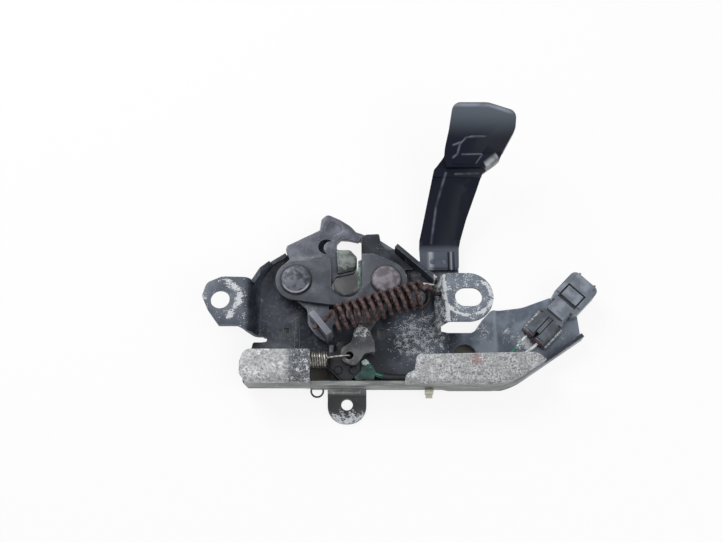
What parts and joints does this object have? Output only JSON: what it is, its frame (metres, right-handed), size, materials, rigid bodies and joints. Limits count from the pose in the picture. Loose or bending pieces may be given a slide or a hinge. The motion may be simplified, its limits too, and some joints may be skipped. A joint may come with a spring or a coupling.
{
  "type": "bonnet latch with release handle",
  "caption": "Pressed steel bonnet latch with fork and pawl, springs, ajar switch lead with plug, and the long black hand lever of its safety catch.",
  "frame": {"origin": "on the centre line of the striker slot, level with the two big pivot rivets, on the rear face of the pan floor", "axes": "+X along the latch towards the plug, +Y the way the striker leaves the slot, +Z away from the panel, towards the front heads of the rivets"},
  "size_m": [0.1912, 0.1502, 0.0444],
  "materials": {
    "black_plate": "black e-coat, worn and specked with white corrosion",
    "dark_strap": "dark grey phosphated steel, satin",
    "dark_rivet": "dark staked steel, satin",
    "dull_steel": "dull grey steel",
    "fork_steel": "dark grey steel with grease",
    "pawl_steel": "grey zinc plate with white corrosion",
    "rusty_spring": "rust brown spring wire",
    "bright_spring": "bright zinc plated wire",
    "black_handle": "semi-gloss black paint",
    "zinc_catch": "dull zinc plate",
    "green_pad": "dark moulding, greenish with old grease",
    "black_plastic": "black moulding, dull",
    "grey_plastic": "dark grey moulding, satin",
    "cream_plastic": "cream nylon",
    "green_wire": "green insulation",
    "white_wire": "white insulation",
    "seal_rubber": "dark red rubber",
    "terminal_tin": "tinned brass blade"
  },
  "bodies": {
    "frame": {"base_plate": "black_plate", "bearing_plate": "dark_strap", "left_pivot_rivet": "dark_rivet", "right_pivot_rivet": "dark_rivet", "fork_washer": "dull_steel", "pawl_washer": "dull_steel", "slot_liner": "green_pad", "main_spring": "rusty_spring", "pawl_spring": "bright_spring", "handle_pivot_rivet": "dull_steel", "handle_spring": "bright_spring", "switch_housing": "black_plastic", "switch_cover": "grey_plastic", "switch_rivets": "dull_steel", "switch_boot": "green_pad", "wire_green": "green_wire", "wire_white": "white_wire", "lead_sleeve": "black_plastic", "lead_clip": "cream_plastic", "clip_ring": "dull_steel", "connector_housing": "grey_plastic", "connector_retainer": "grey_plastic", "connector_seals": "seal_rubber", "connector_terminals": "terminal_tin", "connector_clip": "grey_plastic"},
    "fork": {"fork_bolt": "fork_steel", "fork_jaw_pad": "green_pad"},
    "pawl": {"pawl": "pawl_steel"},
    "switch_button": {"switch_plunger": "grey_plastic"},
    "catch": {"safety_catch": "zinc_catch", "release_handle": "black_handle", "handle_rivets": "dull_steel"}
  },
  "joints": [
    {"name": "pawl_turn", "type": "hinge", "parent": "frame", "child": "pawl", "pos_m": [0.0195, 0, 0], "axis": [0, 0, 1], "range_deg": [0, 24], "stiffness_Nm_per_rad": 0.05, "springref_deg": -17.19, "deforming": ["pawl_spring"]},
    {"name": "fork_turn", "type": "hinge", "parent": "frame", "child": "fork", "pos_m": [-0.0245, 0, 0], "axis": [0, 0, 1], "range_deg": [0, 25.01], "deforming": ["main_spring"]},
    {"name": "button_slide", "type": "slide", "parent": "frame", "child": "switch_button", "axis": [0, 1, 0], "range_m": [0, 0.00151]},
    {"name": "catch_turn", "type": "hinge", "parent": "frame", "child": "catch", "pos_m": [0.035, -0.007, 0], "axis": [0, 0, 1], "range_deg": [-28, 0], "stiffness_Nm_per_rad": 0.1, "springref_deg": 17.19, "deforming": ["handle_spring"]}
  ],
  "couplings": [
    {"joint": "fork_turn", "follows": "pawl_turn", "ratio": 1.0417},
    {"joint": "button_slide", "follows": "pawl_turn", "m_per_rad": 0.00358}
  ]
}
